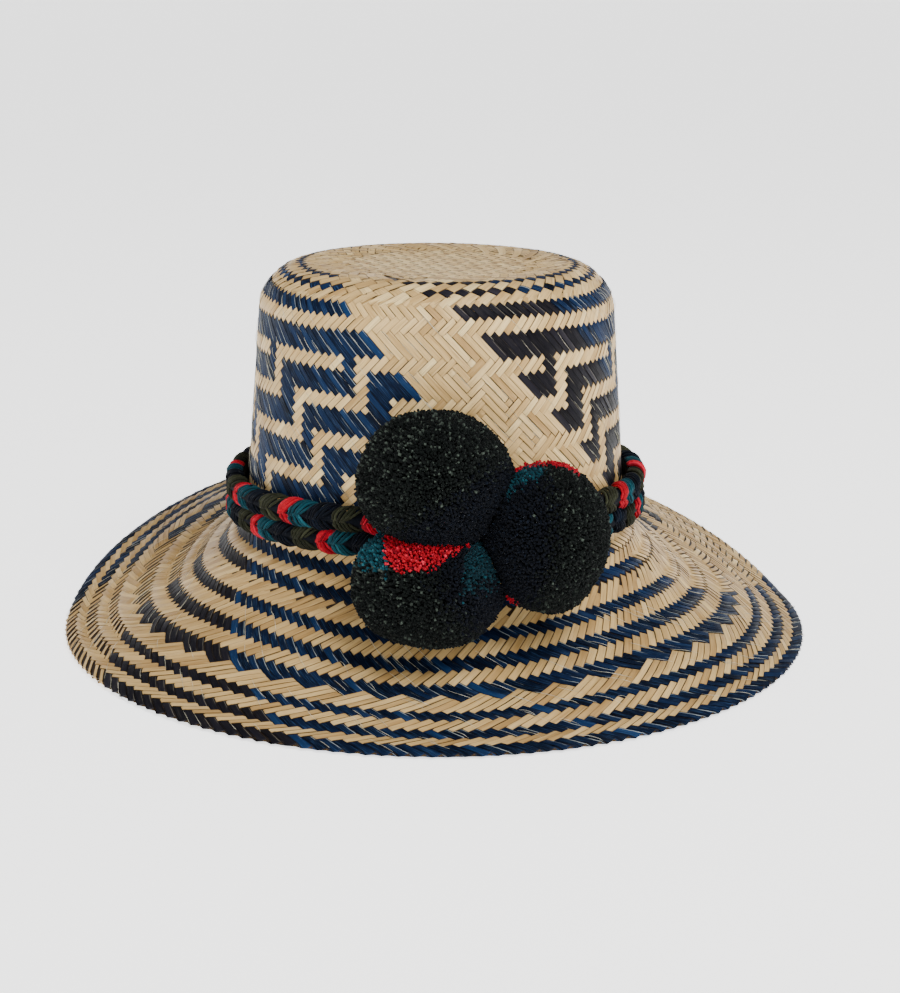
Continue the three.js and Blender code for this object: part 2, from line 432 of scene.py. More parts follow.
def brim_point(azimuth, arc, height):
    """A point over the brim; past the edge the surface folds under the brim and runs back inwards."""
    azimuth, arc = np.broadcast_arrays(np.asarray(azimuth, float), np.asarray(arc, float))
    edge = BRIM_ARC - EDGE_FOLD
    over = np.maximum(0, arc - edge)
    inner = np.minimum(arc, edge) - np.maximum(0, over - math.pi * EDGE_FOLD)
    turn = np.minimum(over / EDGE_FOLD, math.pi)
    radius, z = brim_line(azimuth, inner)
    next_radius, next_z = brim_line(azimuth, np.clip(inner + NORMAL_STEP, NORMAL_STEP, edge))
    before_radius, before_z = brim_line(azimuth, np.clip(inner - NORMAL_STEP, 0, edge - 2 * NORMAL_STEP))
    along = np.stack([next_radius - before_radius, next_z - before_z], -1)
    along /= np.linalg.norm(along, axis=-1, keepdims=True)
    normal = np.stack([-along[..., 1], along[..., 0]], -1)
    centre = np.stack([radius, z], -1) - normal * (STRAW_DEPTH + EDGE_FOLD)
    swing = normal * np.cos(turn)[..., None] + along * np.sin(turn)[..., None]
    spot = centre + swing * (EDGE_FOLD + height)[..., None]
    return np.stack([spot[..., 0] * np.sin(azimuth), -spot[..., 0] * np.cos(azimuth), spot[..., 1]], -1)


SHELL_SIDES = 160
SHELL_HEIGHTS = (-0.03, -0.17)


def shade_shell(name, spot, bands):
    """Thin dark closed shells between the plait's two layers, a painted shade seen only in the gaps of the
    strips.

    Bands are (first arc, last arc, rings, sink); between them, where strips start and end, is none.
    """
    azimuth = np.linspace(0, TURN, SHELL_SIDES, endpoint=False)
    points, faces = [], []
    for first, last, rings, sink in bands:
        arcs = np.linspace(first, last, rings)
        loop = [(arc, SHELL_HEIGHTS[0]) for arc in arcs] + [(arc, SHELL_HEIGHTS[1]) for arc in arcs[::-1]]
        faces.append(len(points) * SHELL_SIDES + ring_faces(len(loop), SHELL_SIDES, closed=True))
        for arc, height in loop:
            points.append(spot(azimuth, np.full(SHELL_SIDES, arc), np.full(SHELL_SIDES, height - sink)))
    return mesh_object(name, np.concatenate(points), np.concatenate(faces).tolist(), [STRAW_SHADED])


# The plait is a lattice of two families of strips. Even-numbered strips of family A run down to the
# right and may be dyed; family B runs down to the left and is natural. Column m and row n of a
# crossing are both odd or both even; strip A has m - n constant and strip B has m + n constant.
STRIP_SHARE = 0.96
NATURAL_SHARE = 0.94
CROSSING_REACH = 0.6
WEAVE_LIFT = 0.36
STRIP_TILT = 0.1
WIDTH_SPREAD = 0.04
OFFSET_SPREAD = 0.03


def strip_line(family, index, rows, over, share=STRIP_SHARE, waist=1.0):
    """Cross-sections of one strip over its crossings, as (column, row, height, hidden) for its two edges.

    A strip that shows over three crossings or more is narrower halfway, by its waist.
    """
    sections = []
    width = share * (1 + WIDTH_SPREAD * rng.standard_normal())
    offset = OFFSET_SPREAD * rng.standard_normal()
    tilt = STRIP_TILT * rng.standard_normal()
    crossings = [(index + n if family == "A" else index - n, n) for n in rows]
    states = [over(m, n) == (family == "A") for m, n in crossings]
    for i, (m, n) in enumerate(crossings):
        height = WEAVE_LIFT if states[i] else -WEAVE_LIFT
        starts = i == 0 or states[i - 1] != states[i]
        ends = i == len(states) - 1 or states[i + 1] != states[i]
        # a strip's stretch on one side has cross-sections at its two ends and at the crossings between
        places = [-CROSSING_REACH] * starts + [CROSSING_REACH] * ends or [0]
        for reach in places:
            # along a strip, the other family's index runs by two for each crossing
            cross = []
            for side in (1, -1):
                shift = side * width * (waist if reach == 0 and states[i] else 1) + offset
                if family == "A":
                    a, b = index + shift, (m + n) + reach
                else:
                    a, b = (m - n) - reach, index + shift
                cross.append(((a + b) / 2, (b - a) / 2, height + side * tilt, 0.0 if states[i] else 1.0))
            sections.append(cross)
    return np.array(sections)


CROWN_STRIPS = 126
CROWN_STEP = TURN / (2 * CROWN_STRIPS)
CROWN_START = math.radians(-17.77)
CROWN_ROW_ARC = 107.06
CROWN_ROW = 2.22
CROWN_ROWS = range(-13, 36)
DYED_RING_ROWS = (-11, -9)
PATTERN_FIRST_ROW = -5

# The step-and-key pattern, in bands of rows: natural dashes with dyed gaps first, and then dyed rows,
# which a natural step crosses. A dash ends at a right end and the next one starts at a left end, which
# are columns from the key's place for each band.
BAND_ROWS = 8
BAND_NATURAL_ROWS = 3
KEYS = [-28, -4, 20, 40, 64, 88, 108, 132, 156, 176, 200]
KEY_RIGHT_ENDS = [-4, 2, 10, 16, 24]
KEY_LEFT_ENDS = [0, 8, 14, 22, 28]


def around(value, count):
    """The value brought near zero on a ring of that many columns."""
    return (value + count // 2) % count - count // 2


def crown_a_over(m, n):
    """True where the dyed family shows on the crown."""
    if DYED_RING_ROWS[0] <= n <= DYED_RING_ROWS[1]:
        return True
    if n < PATTERN_FIRST_ROW:
        return False
    band, row = divmod(n, BAND_ROWS)
    dyed = row >= BAND_NATURAL_ROWS
    if not 0 <= band < len(KEY_LEFT_ENDS):
        return dyed
    for key in KEYS:
        first, last = key + KEY_RIGHT_ENDS[band], key + KEY_LEFT_ENDS[band]
        if dyed:
            place = around(m - last, 2 * CROWN_STRIPS)
            changes = place == 1 if row % 2 else place in (0, 2)
        else:
            spread = 1 if row == 1 else 0
            changes = -spread < around(m - first, 2 * CROWN_STRIPS) < last - first + spread
        if changes:
            return not dyed
    return dyed


# Dye of family A on the crown, by the strip numbers where each colour ends
CROWN_DYE = [(4, BLUE), (28, NATURAL), (52, BLACK), (130, BLUE), (154, NATURAL), (178, BLACK), (252, BLUE)]


def crown_dye(index):
    return next(dye for end, dye in CROWN_DYE if index % (2 * CROWN_STRIPS) < end)


def wobble(azimuth, arc):
    """Small slow unevenness of the rows, in mm of arc."""
    return 0.45 * np.sin(3 * azimuth + arc / 21) + 0.3 * np.sin(7 * azimuth - arc / 13 + 1.3)


def crown_spot(lattice):
    azimuth = CROWN_START + CROWN_STEP * lattice[..., 0]
    arc = CROWN_ROW_ARC + CROWN_ROW * lattice[..., 1]
    return crown_point(azimuth, arc + wobble(azimuth, arc), lattice[..., 2])


# the ends of strips lie lower where other strips cover them
CROWN_END_SINK = 0.5
INNER_END_SINK = 0.4
DYED_END_SINK = 0.3


def crown_strips(family):
    strips = []
    for index in range(0, 2 * CROWN_STRIPS, 2):
        dye = crown_dye(index) if family == "A" else NATURAL
        share = NATURAL_SHARE if dye == NATURAL else STRIP_SHARE
        lattice = strip_line(family, index, CROWN_ROWS, crown_a_over, share)
        lattice[:2, :, 2] -= CROWN_END_SINK
        strips.append(strip(crown_spot, lattice, dye))
    return strips


# Inside the shoulder the strips are twice as wide: each one is split in two where the wall's rows start.
# Two rings of dyed squares lie in this part.
INNER_STRIPS = 63
INNER_STEP = TURN / (2 * INNER_STRIPS)
INNER_START = math.radians(-17.77 + 1.43)
INNER_RING_ARC = 64.9
INNER_ROW = 2.96
INNER_ROWS = (-7, 6)
INNER_RING_ROWS = (0, 3)
INNER_SHARES = {"A": 1.02, "B": 0.92}
INNER_WOBBLE = 0.6


def inner_a_over(m, n):
    if n in INNER_RING_ROWS:
        return True
    if n >= -1:
        return False
    return (m + 3 * n) % 4 < 2


def inner_spot(lattice):
    azimuth = INNER_START + INNER_STEP * lattice[..., 0]
    arc = INNER_RING_ARC + INNER_ROW * lattice[..., 1]
    return crown_point(azimuth, arc + INNER_WOBBLE * wobble(azimuth, arc), lattice[..., 2])


def inner_dye(index):
    azimuth = INNER_START + INNER_STEP * index
    ring_row = (INNER_RING_ARC - CROWN_ROW_ARC) / CROWN_ROW
    place = 2 * round((azimuth - CROWN_START) / CROWN_STEP / 2 - ring_row / 2 + 0.5)
    here, ahead = crown_dye(place), crown_dye(place + 4)
    return here if ahead == NATURAL else ahead


def inner_strips(family):
    """Natural strips run through; a dyed strip ends under the inner ring, where a natural one goes on."""
    first, last = INNER_ROWS
    if family == "B":
        parts = [(range(first, last + 1), NATURAL)]
    else:
        parts = [(range(first, 0), NATURAL), (range(-1, last + 1), None)]
    strips = []
    for index in range(0, 2 * INNER_STRIPS, 2):
        for rows, dye in parts:
            lattice = strip_line(family, index, rows, inner_a_over, INNER_SHARES[family])
            if rows[-1] == last:
                lattice[-2:, :, 2] -= CROWN_END_SINK
            if rows[0] == first:
                lattice[:3, :, 2] -= INNER_END_SINK
            else:
                lattice[:2, :, 2] -= DYED_END_SINK
            strips.append(strip(inner_spot, lattice, inner_dye(index) if dye is None else dye))
    return strips


# The top's middle is a natural twill, laid straight across: each strip goes over two and under one
TOP_RADIUS = 48
TOP_PITCH = 4.0
TOP_SHARE = 0.94
# the top's straw is painted lighter, for the light that falls on it from above
TOP_LIT_TONE = 0.68
TOP_TURN = math.radians(40)
TOP_CROSSING_REACH = 0.3
TOP_LIFT = 0.8 * WEAVE_LIFT
TOP_SINK = 0.4
TOP_END_HEIGHT = -1.2


def top_strips(family):
    strips = []
    # the outermost ones would have a single crossing
    count = int(TOP_RADIUS / TOP_PITCH) - 1
    for i in range(-count, count + 1):
        centre = i * TOP_PITCH
        limit = int(math.sqrt(TOP_RADIUS ** 2 - centre ** 2) / TOP_PITCH)
        sections = []
        for j in range(-limit, limit + 1):
            over = (i + j) % 3 != 0 if family == "A" else (j - i) % 3 == 0
            height = TOP_END_HEIGHT if abs(j) == limit else (TOP_LIFT if over else -TOP_LIFT) - TOP_SINK
            for place in ((j - TOP_CROSSING_REACH) * TOP_PITCH, (j + TOP_CROSSING_REACH) * TOP_PITCH):
                cross = []
                for side in (-1, 1):
                    edge = centre + side * TOP_SHARE / 2 * TOP_PITCH
                    x, y = (edge, place) if family == "A" else (place, -edge)
                    azimuth = math.atan2(x, -y) + TOP_TURN
                    cross.append((azimuth, math.hypot(x, y), height, 0.0 if over else 1.0))
                sections.append(cross)
        strips.append(strip(top_spot, np.array(sections), NATURAL, tone=TOP_LIT_TONE))
    return strips


def top_spot(line):
    return crown_point(line[..., 0], line[..., 1], line[..., 2])


# Brim, upper part: the crown's strips carry on under the band
COLLAR_ROW_START = (39, 13.1)
COLLAR_ROW = 1.965
COLLAR_DARK_ROWS = [(34, 36), (40, 42), (46, 48)]

# Brim, lower part: a third more strips
BRIM_STRIPS = 168
BRIM_STEP = TURN / (2 * BRIM_STRIPS)
BRIM_START = math.radians(-31.54)
# where the rows lie, as (row, arc)
BRIM_ROWS_AT = [
    (-4, 35.5), (-1, 41.4), (2.5, 48.3), (5.5, 56.2), (8.5, 63.6), (11.5, 72.2), (14, 78.0), (17, 82.7),
    (20.5, 88.9), (23.5, 93.6), (26.5, 99.8), (29.5, 105.3), (32.5, 110.5), (36, 116.2), (40, 123.5),
]
BRIM_DARK_ROWS = [(0, 2), (6, 8), (12, 14), (21, 23), (27, 29), (33, 40)]
TOOTH_PEAK = 1
TOOTH_ROWS = (15, 16)
TOOTH_WIDTH = 6
# towards the edge the strips lean less, by degrees at a row
BRIM_LEAN_ROWS = [19, 22, 28, 36, 40]
BRIM_LEAN = [0, -0.5, -2.0, -4.0, -4.6]
BRIM_SHARE = 0.95
BRIM_WAIST = 0.95
# the brim's natural straw is painted a little darker than the crown's, a painted shade for the shade and dark
# gaps over the brim; its blue is a little darker too
BRIM_SHADED_TONES = {NATURAL: 0.34, BLACK: 0.5, BLUE: 0.38}
# natural strips of family A are narrow, so that dark slits show between them, most of all on the left
SLIT_SHARE_LEFT = 0.48
SLIT_SHARE_RIGHT = 0.82
SLIT_WAIST = 0.85
# on the left the natural strips of family B lie close, and their painted rim shade fades there, with hardly a
# line between them
CLOSE_AZIMUTH = math.radians(-85)
CLOSE_REACH = math.radians(42)
CLOSE_RIM_SHADE_FADE = 0.8
# the rows' unevenness fades out over this arc at the brim's two edges
WOBBLE_EASE = 10
# where family B passes from the collar to the brim, and how it leans there, in radians for a mm of arc
JOIN_ARC = 37
COLLAR_B_LEAN = 0.0115
BRIM_B_LEAN = 0.0105
JOIN_SHARES = (0.2, 0.4, 0.6, 0.8)
# how a new strip comes up, as (mm of arc above its first crossing, height, how hidden)
START_SECTIONS = [(7.0, -0.9, 1.0), (5.5, -0.5, 0.9), (4.0, 0.1, 0.4), (2.0, 0.45, 0.0)]


def in_rows(n, groups):
    return any(first <= n <= last for first, last in groups)


def collar_a_over(m, n):
    return in_rows(n, COLLAR_DARK_ROWS)


def brim_a_over(m, n):
    """True where the dyed family shows on the brim: in its dark rings and in a zigzag of two rows."""
    if n == TOOTH_ROWS[0]:
        return (m - TOOTH_PEAK) % TOOTH_WIDTH != 0
    if n == TOOTH_ROWS[1]:
        return (m - TOOTH_PEAK) % TOOTH_WIDTH == TOOTH_WIDTH // 2
    return in_rows(n, BRIM_DARK_ROWS)


# Dye of family A on the brim, as azimuths in degrees where each colour ends
COLLAR_DYE = [
    (-131, BLUE), (-91.3, NATURAL), (-58, BLACK), (67, BLUE), (101, NATURAL), (133, BLACK), (229, BLUE),
]
BRIM_DYE = [
    (-100, BLUE), (-65, NATURAL), (-28.3, BLACK), (97, BLUE), (132, NATURAL), (164, BLACK), (260, BLUE),
]


def dye_at(azimuth, table):
    first = table[-1][0] - 360
    degrees = (math.degrees(azimuth) - first) % 360 + first
    return next(dye for end, dye in table if degrees < end)


def collar_plan(lattice):
    azimuth = CROWN_START + CROWN_STEP * lattice[..., 0]
    arc = COLLAR_ROW_START[1] + COLLAR_ROW * (lattice[..., 1] - COLLAR_ROW_START[0])
    return np.stack([azimuth, arc, lattice[..., 2], lattice[..., 3]], -1)


def brim_plan(lattice):
    lean = np.radians(np.interp(lattice[..., 1], BRIM_LEAN_ROWS, BRIM_LEAN))
    azimuth = BRIM_START + BRIM_STEP * lattice[..., 0] + lean
    rows, arcs = zip(*BRIM_ROWS_AT)
    return np.stack([azimuth, np.interp(lattice[..., 1], rows, arcs), lattice[..., 2], lattice[..., 3]], -1)


def brim_spot(plan):
    azimuth, arc, height = plan[..., 0], plan[..., 1], plan[..., 2]
    ease = np.clip((BRIM_ARC - arc) / WOBBLE_EASE, 0, 1) * np.clip(arc / WOBBLE_EASE, 0, 1)
    return brim_point(azimuth, arc + ease * wobble(azimuth, arc), height)


def brim_widths(azimuth, dye):
    """Share and waist of a strip of family A on the brim."""
    if dye != NATURAL:
        return BRIM_SHARE, BRIM_WAIST
    return SLIT_SHARE_LEFT if math.sin(azimuth) < 0 else SLIT_SHARE_RIGHT, SLIT_WAIST


# the brim's two parts; a strip's dye and width go by its place at the middle row
COLLAR = SimpleNamespace(
    strips=CROWN_STRIPS, start=CROWN_START, step=CROWN_STEP, middle=47, dyes=COLLAR_DYE,
    rows={"A": range(33, 53), "B": range(33, 49)}, over=collar_a_over, plan=collar_plan)
BRIM = SimpleNamespace(
    strips=BRIM_STRIPS, start=BRIM_START, step=BRIM_STEP, middle=22, dyes=BRIM_DYE,
    rows={"A": range(-3, 40), "B": range(-1, 40)}, over=brim_a_over, plan=brim_plan)


def brim_strips_a():
    strips = []
    for part in (COLLAR, BRIM):
        for index in range(0, 2 * part.strips, 2):
            azimuth = part.start + part.step * (index + part.middle)
            dye = dye_at(azimuth, part.dyes)
            lattice = strip_line("A", index, part.rows["A"], part.over, *brim_widths(azimuth, dye))
            strips.append(strip(brim_spot, part.plan(lattice), dye, tone=BRIM_SHADED_TONES[dye]))
    return strips


def closeness(azimuth):
    """From 1 where the natural strips lie close to 0 away from there."""
    return np.exp(-((around_angle(azimuth - CLOSE_AZIMUTH) / CLOSE_REACH) ** 4))


def close_share(azimuth):
    return NATURAL_SHARE + (1 - NATURAL_SHARE) * closeness(azimuth)


def natural_strip(plan):
    # painted rim shade, weaker where the strips lie close
    rim_shade = 1 - CLOSE_RIM_SHADE_FADE * closeness(plan[:, 0, 0])
    return strip(brim_spot, plan, NATURAL, rim_shade, BRIM_SHADED_TONES[NATURAL])


def natural_plans(part):
    plans = {}
    for index in range(0, 2 * part.strips, 2):
        share = close_share(part.start + part.step * (index - part.middle))
        plans[index] = part.plan(strip_line("B", index, part.rows["B"], part.over, share, BRIM_WAIST))
    return plans


def join_azimuth(line, lean):
    """The azimuth at which a strip that ends in this line comes to the join."""
    return line[:, 0].mean() + lean * (line[:, 1].mean() - JOIN_ARC)


def brim_strips_b():
    """Three strips of the collar carry on as four of the brim; the fourth starts under its neighbours."""
    upper, lower = natural_plans(COLLAR), natural_plans(BRIM)
    end = join_azimuth(upper[0][-1], COLLAR_B_LEAN)
    first = min(lower, key=lambda i: abs(around_angle(join_azimuth(lower[i][0], BRIM_B_LEAN) - end)))
    strips = []
    for group in range(CROWN_STRIPS // 3):
        for place, partner in ((0, 0), (1, 1), (None, 2), (2, 3)):
            below = lower[(first + 2 * (4 * group + partner)) % (2 * BRIM_STRIPS)]
            if place is None:
                strips.append(natural_strip(started_strip(below)))
                continue
            above = upper[(2 * (3 * group + place)) % (2 * CROWN_STRIPS)]
            shift = TURN * round((above[-1, 0, 0] - below[0, 0, 0]) / TURN)
            below = below + np.array([shift, 0, 0, 0])
            between = np.array([above[-1] * (1 - t) + below[0] * t for t in JOIN_SHARES])
            between[..., 2] = WEAVE_LIFT
            between[..., 3] = 0
            strips.append(natural_strip(np.concatenate([above, between, below])))
    return strips


def started_strip(below):
    """A new strip that comes up from under its neighbours, a few mm above its first crossing."""
    lines = []
    for back, height, hidden in START_SECTIONS:
        line = below[0].copy()
        line[:, 1] -= back
        line[:, 0] += BRIM_B_LEAN * back
        line[:, 2] = height
        line[:, 3] = hidden
        lines.append(line)
    return np.concatenate([np.array(lines), below])


def add_straw():
    crown_a = strips_object("crown_dyed_strips", crown_strips("A") + inner_strips("A") + top_strips("A"))
    crown_b = strips_object("crown_natural_strips", crown_strips("B") + inner_strips("B") + top_strips("B"))
    brim_a = strips_object("brim_dyed_strips", brim_strips_a())
    brim_b = strips_object("brim_natural_strips", brim_strips_b())
    # dark sheets of painted shade between the plait's layers
    crown_shell = shade_shell("crown_straw_in_shade", crown_point, [
        (1.5, 44, 10, 0.4), (51.5, 76.5, 12, 0), (84.5, crown_length(CROWN_FOOT), 32, 0)])
    brim_shell = shade_shell("brim_straw_in_shade", brim_point, [
        (0.5, BRIM_ARC - EDGE_FOLD - 0.4, 50, 0)])
    for piece, node in ((crown_a, "crown"), (crown_b, "crown"), (brim_a, "brim"), (brim_b, "brim"),
                        (crown_shell, "crown"), (brim_shell, "brim")):
        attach(piece, "root")
        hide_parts(node)


add_straw()


# Wool: matte twisted yarn with a soft halo of fibres
WOOL_NOISE_SCALE = 900
WOOL_TONES = 0.7
WOOL_GLOSS = (0.08, 0.85)
WOOL_BUMP = 0.5


def wool_material(name, dark, light, tip):
    material, tree, shader = new_material(name)
    place = add_node(tree, "ShaderNodeTexCoord").outputs["Object"]
    fluff = noise(tree, place, WOOL_NOISE_SCALE)
    change = calculate(tree, "MULTIPLY_ADD", fluff, WOOL_TONES, -WOOL_TONES / 2)
    tone = calculate(tree, "ADD", change, read_attribute(tree, "yarn_shade"))
    set_surface(tree, shader, ramp(tree, tone, [(0.0, dark), (0.6, light), (1.0, tip)]), *WOOL_GLOSS)
    shader.inputs["Sheen Weight"].default_value = 0.03
    shader.inputs["Sheen Roughness"].default_value = 0.5
    add_bump(tree, shader, fluff, WOOL_BUMP)
    return material


WOOLS = [
    wool_material("wool_yarn_red", "#5c0411", "#a80e20", "#c92a40"),
    wool_material("wool_yarn_teal", "#061f26", "#103c46", "#225862"),
    wool_material("wool_yarn_navy_black", "#02040a", "#060b15", "#0e1724"),
    wool_material("wool_yarn_olive", "#12130c", "#26281b", "#3d3f2d"),
    wool_material("wool_yarn_green_black", "#020404", "#090e0c", "#3b433c"),
]
RED, TEAL, NAVY, OLIVE, GREEN_BLACK = range(5)


def tubes_object(name, tubes, sides, materials=None):
    """Tubes are (points of the centre line, radii, material, shade); all are joined in one mesh."""
    points, faces, shades, face_material = [], [], [], []
    start = 0
    ring = np.linspace(0, TURN, sides, endpoint=False)
    for line, radii, material, shade in tubes:
        along = np.gradient(line, axis=0)
        along /= np.linalg.norm(along, axis=1, keepdims=True)
        helper = np.array([0, 0, 1.0]) if abs(along[0][2]) < 0.8 else np.array([1.0, 0, 0])
        side = np.cross(along, helper)
        side /= np.linalg.norm(side, axis=1, keepdims=True)
        up = np.cross(side, along)
        circle = np.cos(ring)[None, :, None] * side[:, None] + np.sin(ring)[None, :, None] * up[:, None]
        points.append((line[:, None] + circle * np.asarray(radii)[:, None, None]).reshape(-1, 3))
        rows = len(line)
        quads = start + ring_faces(rows, sides)[:, [0, 3, 2, 1]]
        faces.extend(quads.tolist())
        faces.append([start + (rows - 1) * sides + j for j in range(sides)])
        faces.append([start + j for j in reversed(range(sides))])
        shades.append(np.full(rows * sides, shade))
        face_material.append(np.full(len(quads) + 2, material))
        start += rows * sides
    made = mesh_object(name, np.concatenate(points), faces, materials or WOOLS, np.concatenate(face_material))
    set_attribute(made, "yarn_shade", np.concatenate(shades))
    return made


# Loose fibres: pale hairs that lie along the dyed strips and stand off them a little
FIBRE_RADIUS = 0.09
FIBRE_TAPER = np.array([0.5, 0.9, 1, 1, 0.9, 0.4])
# a fibre starts at one of its strip's two sides
FIBRE_SIDES = [-0.95, 0.95]
# fibres, columns, rows and the surface of the crown and of the brim
FIBRE_GROUPS = [
    (380, 2 * CROWN_STRIPS, (-12, 30), crown_spot),
    (300, 2 * BRIM_STRIPS, (0, 34), lambda line: brim_spot(brim_plan(line))),
]


def fibre_line(column, row, length, drift, rise):
    share = np.linspace(0, 1, len(FIBRE_TAPER))
    bow = drift * (share - share ** 2)
    height = WEAVE_LIFT + FIBRE_RADIUS * 0.5 + rise * (share - share ** 2) * 4
    return np.stack([column + length * share + bow, row + length * share - bow, height, 0 * share], -1)


def add_fibres():
    tubes = []
    for count, columns, rows, spot in FIBRE_GROUPS:
        for _ in range(count):
            index = 2 * rng.integers(0, columns // 2) + rng.choice(FIBRE_SIDES)
            row = rng.uniform(*rows)
            length, drift, rise = rng.uniform(2, 5), rng.normal(0, 0.5), rng.uniform(0.2, 0.8)
            line = fibre_line(index + row, row, length, drift, rise)
            tubes.append((spot(line[:, None])[:, 0], FIBRE_RADIUS * FIBRE_TAPER, 0, rng.random()))
    fibres = tubes_object("loose_straw_fibres", tubes, 3, [STRAW_FIBRE])
    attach(fibres, "root")


add_fibres()


# The band: two wheat-ear plaits, one above the other. Each stitch is a chevron that opens to the
# right, of two arms that wrap round the plait, and each arm is a bundle of yarns.
BAND_HEIGHT = 68.5
BAND_RISE = 1.5
BAND_SLANT = 1.2
BAND_GAP = 0.3
PLAIT_DEPTH = 5.3
PLAIT_HALF = (5.0, 5.6)
PLAIT_OFFSET = 5.2
STITCHES = [(RED, 4.3), (TEAL, 6.8), (NAVY, 7.3), (OLIVE, 7.3)]
UPPER_RED_AT = -43.0
LOWER_RED_AT = -56.0
BAND_REPEATS = 14
YARNS_PER_ARM = 6
YARN_RADIUS = 0.68
YARN_POINTS = 9
ARM_SLOPE = 4.0
ARM_REACH = math.radians(140)
LOBE_HEIGHT = 2.4
LOBE_SINK = 0.75
LOBE_SPREAD = 0.25
DIP = 1.2
DIP_REACH = 0.3
PINCH = 0.35
PINCH_REACH = 0.45
ARM_START = -0.12
ARM_CURL = 0.12
ARM_FILL = 0.96
YARN_WANDER = 0.35
YARN_SPREAD = 0.12
YARN_TONE = (0.45, 0.2)


def band_spot(azimuth, depth, height):
    centre = BAND_HEIGHT + BAND_RISE * np.cos(2 * azimuth) + BAND_SLANT * np.sin(azimuth)
    radius = crown_radius(centre) + BAND_GAP + depth
    return np.stack([radius * np.sin(azimuth), -radius * np.cos(azimuth), centre + height], -1)


def plait_tubes(side, first_red):
    tubes = []
    reach = crown_radius(BAND_HEIGHT) + PLAIT_DEPTH * 2
    scale = 360 / BAND_REPEATS / sum(width for _, width in STITCHES)
    start = math.radians(first_red)
    share = np.linspace(0, 1, YARN_POINTS)
    angle = ARM_START + ARM_REACH * share
    # an arm leaves its stitch's point almost along the plait, then wraps round it
    lead = ARM_SLOPE * (angle - ARM_CURL * angle ** 2) / reach
    dip = DIP * np.exp(-((angle / DIP_REACH) ** 2))
    pinch = 1 - PINCH * np.exp(-((angle / PINCH_REACH) ** 2))
    radius = YARN_RADIUS * (1 - 0.25 * (share < 0.1))
    for wool, width in STITCHES * BAND_REPEATS:
        span = math.radians(width * scale)
        for arm in (-1, 1):
            swell = LOBE_SPREAD * rng.standard_normal()
            for yarn in range(YARNS_PER_ARM):
                across = (yarn + 0.5) / YARNS_PER_ARM - 0.5
                lobe = LOBE_HEIGHT * (math.sqrt(1 - (1.9 * across) ** 2) - 0.6) + swell
                wander = YARN_WANDER * np.sin(share * rng.uniform(2, 7) + rng.uniform(0, TURN)) / reach
                azimuth = start + span * (across * ARM_FILL * pinch) + lead + wander
                out = lobe - dip - LOBE_SINK + YARN_SPREAD * rng.standard_normal()
                depth = PLAIT_DEPTH + (PLAIT_HALF[0] + out) * np.cos(angle)
                height = side * PLAIT_OFFSET + arm * (PLAIT_HALF[1] + out) * np.sin(angle)
                shade = float(np.clip(rng.normal(*YARN_TONE), 0, 1))
                tubes.append((band_spot(azimuth, depth, height), radius, wool, shade))
        start += span
    return tubes


# the filling's tubes, as (depth from the plaits' middle, height, radius)
CORE_TUBES = [(0, -PLAIT_OFFSET, 4.1), (-1.5, 0, 2.4), (0, PLAIT_OFFSET, 4.1)]
CORE_POINTS = 97


def band_core():
    """A dark filling inside the plaits, a painted shade where it shows in the groove, so that nothing shows
    through between the yarns.
    """
    azimuth = np.linspace(0, TURN, CORE_POINTS)
    tubes = []
    for depth, height, radius in CORE_TUBES:
        line = band_spot(azimuth, np.full(CORE_POINTS, PLAIT_DEPTH + depth), np.full(CORE_POINTS, height))
        tubes.append((line, np.full(CORE_POINTS, radius), NAVY, 0.2))
    return tubes


def add_band():
    plaits = plait_tubes(1, UPPER_RED_AT) + plait_tubes(-1, LOWER_RED_AT) + band_core()
    band = tubes_object("plaited_wool_band", plaits, 5)
    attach(band, "root")
    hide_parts("braided_band")


add_band()


# Pompoms: thousands of clipped yarn ends standing out of a dark heart
POMPOMS = {
    "pompom_upper": ((0.3, -120.5, 101.5), (33.3, 31, 29.5)),
    "pompom_lower": ((-1.3, -126, 56), (32.9, 31, 26.5)),
    "pompom_right": ((47.3, -120.6, 76.3), (27.5, 30, 33)),
}
# where a pompom is fuller than its round form: a direction and how much
POMPOM_SHOULDERS = {
    "pompom_lower": [((-0.75, -0.25, 0.61), 0.13)],
    "pompom_upper": [((0.0, -0.4, -0.92), 0.08)],
}
SHOULDER_REACH = 0.1
# sides of each pompom that face the others: navy, and painted darker for the shade between the pompoms
POMPOM_SHADED_SIDES = {
    "pompom_upper": (0.6, -0.2, -0.77),
    "pompom_lower": (0.9, -0.1, 0.42),
    "pompom_right": (-0.9, -0.4, 0.17),
}
COLLAR_RADIUS = 100
POMPOM_CLEARANCE = 0.6
POMPOM_OVERLAP = 0.93
HEART_SHARE = 0.87
YARN_END_AREA = 1.08
YARN_END_RADIUS = 0.6
YARN_END_LENGTH = 5
YARN_END_POINT = 0.35
YARN_END_SIDES = 4
YARN_END_REACH = 0.985
YARN_END_LEAN = 4.5
# how far a way from a pompom's centre looks to the front and up
FACING = (0.0, -0.96, 0.27)
# patches of red and teal: the red one's lower edge as (x, z), and the teal ones' lower inner corners
PATCH_FRAY = 0.9
LOWER_RED_EDGE = [(-20, 74), (-16, 70.5), (-6, 70.5), (5, 73.5), (11, 77), (20, 80)]
LOWER_RED_SIDES = (-20, 21)
LOWER_TEAL_LEFT = (-18.5, 69)
LOWER_TEAL_RIGHT = (14, 63)
RIGHT_RED_TUFT = (33.4, 50.5)
RIGHT_RED_TUFT_RADIUS = 2.6


